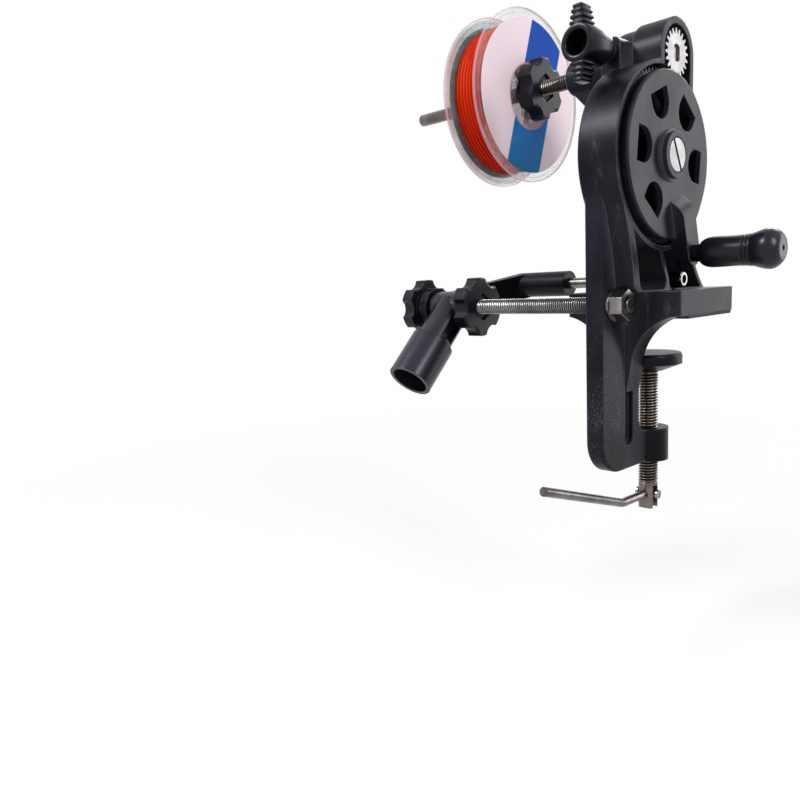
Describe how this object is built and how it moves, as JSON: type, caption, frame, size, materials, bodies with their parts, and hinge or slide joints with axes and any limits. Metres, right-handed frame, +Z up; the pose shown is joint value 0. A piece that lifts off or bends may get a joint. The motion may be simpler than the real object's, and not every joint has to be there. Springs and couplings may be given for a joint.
{
  "type": "fishing line winder",
  "caption": "Table-clamped fishing line winder: crank wheel geared 4:1 to a threaded spindle with a clear spool, swinging rod socket, guide rod and wing-screw brake.",
  "frame": {"origin": "centre of the foot's underside, where the winder rests on the table top", "axes": "+X to the crank side along the wheel axle, +Y over the table away from its edge, +Z up"},
  "size_m": [0.2203, 0.1392, 0.2696],
  "materials": {
    "frame_plastic": "satin",
    "wheel_plastic": "satin",
    "black_plastic": "gloss",
    "rubber_pad": "matte",
    "bush_brass": "satin",
    "zinc_steel": "satin",
    "dark_steel": "polished",
    "pinion_steel": "satin",
    "plug_nylon": "matte",
    "clear_plastic": "clear gloss",
    "fishing_line": "gloss",
    "paper_label": "satin"
  },
  "bodies": {
    "frame": {"frame": "frame_plastic", "foot_pad": "rubber_pad", "jaw_bush": "bush_brass", "wheel_axle_screw": "zinc_steel", "axle_washer": "zinc_steel", "spindle_bush_front": "bush_brass", "spindle_bush_rear": "bush_brass", "support_rod": "zinc_steel", "rod_washer_near": "zinc_steel", "rod_nut_near": "zinc_steel", "brake_lock_collar": "black_plastic"},
    "wheel": {"crank_wheel": "wheel_plastic", "wheel_bush": "bush_brass", "handle_pin": "zinc_steel"},
    "handle": {"handle_grip": "black_plastic", "handle_cap": "black_plastic"},
    "spindle": {"spindle": "zinc_steel", "pinion": "pinion_steel"},
    "spool": {"line_spool": "clear_plastic", "wound_line": "fishing_line", "spool_label_near": "paper_label", "spool_label_far": "paper_label"},
    "spindle_knob_inner": {"spindle_knob_inner": "black_plastic", "spindle_knob_inner_nut": "zinc_steel"},
    "spindle_knob_outer": {"spindle_knob_outer": "black_plastic", "spindle_knob_outer_nut": "zinc_steel"},
    "brake_plug": {"brake_plug": "plug_nylon"},
    "wing": {"wing_knob": "black_plastic", "brake_stud": "zinc_steel"},
    "carriage": {"guide_arm": "black_plastic", "guide_rod": "zinc_steel"},
    "holder": {"rod_holder": "black_plastic"},
    "holder_knob_inner": {"holder_knob_inner": "black_plastic", "holder_knob_inner_nut": "zinc_steel"},
    "holder_knob_outer": {"holder_knob_outer": "black_plastic", "holder_knob_outer_nut": "zinc_steel"},
    "clamp_pad": {"clamp_pad": "black_plastic"},
    "clamp_screw": {"clamp_screw": "zinc_steel", "clamp_hinge_pin": "zinc_steel"},
    "clamp_handle": {"clamp_handle": "dark_steel"}
  },
  "joints": [
    {"name": "wheel_spin", "type": "hinge", "parent": "frame", "child": "wheel", "pos_m": [0, -0.0195, 0.076], "axis": [1, 0, 0], "continuous": true},
    {"name": "handle_spin", "type": "hinge", "parent": "wheel", "child": "handle", "pos_m": [0, -0.00561, 0.03058], "axis": [1, 0, 0], "continuous": true},
    {"name": "spindle_spin", "type": "hinge", "parent": "frame", "child": "spindle", "pos_m": [0, -0.00757, 0.12456], "axis": [1, 0, 0], "continuous": true},
    {"name": "spool_slide", "type": "slide", "parent": "spindle", "child": "spool", "axis": [1, 0, 0], "range_m": [-0.012, 0.01]},
    {"name": "spindle_knob_inner_turn", "type": "hinge", "parent": "spool", "child": "spindle_knob_inner", "pos_m": [0, -0.00757, 0.12456], "axis": [1, 0, 0], "range_deg": [-3457, 2881]},
    {"name": "spindle_knob_outer_turn", "type": "hinge", "parent": "spool", "child": "spindle_knob_outer", "pos_m": [0, -0.00757, 0.12456], "axis": [1, 0, 0], "range_deg": [-3457, 2881]},
    {"name": "brake_slide", "type": "slide", "parent": "frame", "child": "brake_plug", "axis": [0, 1, 0], "range_m": [-0.003, 0]},
    {"name": "brake_turn", "type": "hinge", "parent": "brake_plug", "child": "wing", "pos_m": [-0.005, 0, 0.12456], "axis": [0, 1, 0], "range_deg": [-1081, 1]},
    {"name": "holder_slide", "type": "slide", "parent": "frame", "child": "carriage", "axis": [1, 0, 0], "range_m": [-0.002, 0.024]},
    {"name": "holder_tilt", "type": "hinge", "parent": "carriage", "child": "holder", "pos_m": [0, -0.049, 0.008], "axis": [1, 0, 0], "range_deg": [-80, 80]},
    {"name": "holder_knob_inner_turn", "type": "hinge", "parent": "carriage", "child": "holder_knob_inner", "pos_m": [0, -0.049, 0.008], "axis": [1, 0, 0], "range_deg": [-577, 6913]},
    {"name": "holder_knob_outer_turn", "type": "hinge", "parent": "carriage", "child": "holder_knob_outer", "pos_m": [0, -0.049, 0.008], "axis": [1, 0, 0], "range_deg": [-577, 6913]},
    {"name": "clamp_lift", "type": "slide", "parent": "frame", "child": "clamp_pad", "axis": [0, 0, 1], "range_m": [-0.0285, 0.009]},
    {"name": "clamp_turn", "type": "hinge", "parent": "clamp_pad", "child": "clamp_screw", "pos_m": [0, -0.0071, -0.05], "axis": [0, 0, 1], "range_deg": [-6841, 2161]},
    {"name": "clamp_handle_fold", "type": "hinge", "parent": "clamp_screw", "child": "clamp_handle", "pos_m": [0, -0.0071, -0.0935], "axis": [1, 0, 0], "range_deg": [0, 90]}
  ],
  "couplings": [
    {"joint": "spindle_spin", "follows": "wheel_spin", "ratio": -4},
    {"joint": "spindle_knob_inner_turn", "follows": "spool_slide", "rad_per_m": 5026.5},
    {"joint": "spindle_knob_outer_turn", "follows": "spool_slide", "rad_per_m": 5026.5},
    {"joint": "brake_turn", "follows": "brake_slide", "rad_per_m": 6283.2},
    {"joint": "holder_knob_inner_turn", "follows": "holder_slide", "rad_per_m": 5026.5},
    {"joint": "holder_knob_outer_turn", "follows": "holder_slide", "rad_per_m": 5026.5},
    {"joint": "clamp_turn", "follows": "clamp_lift", "rad_per_m": 4188.8}
  ]
}
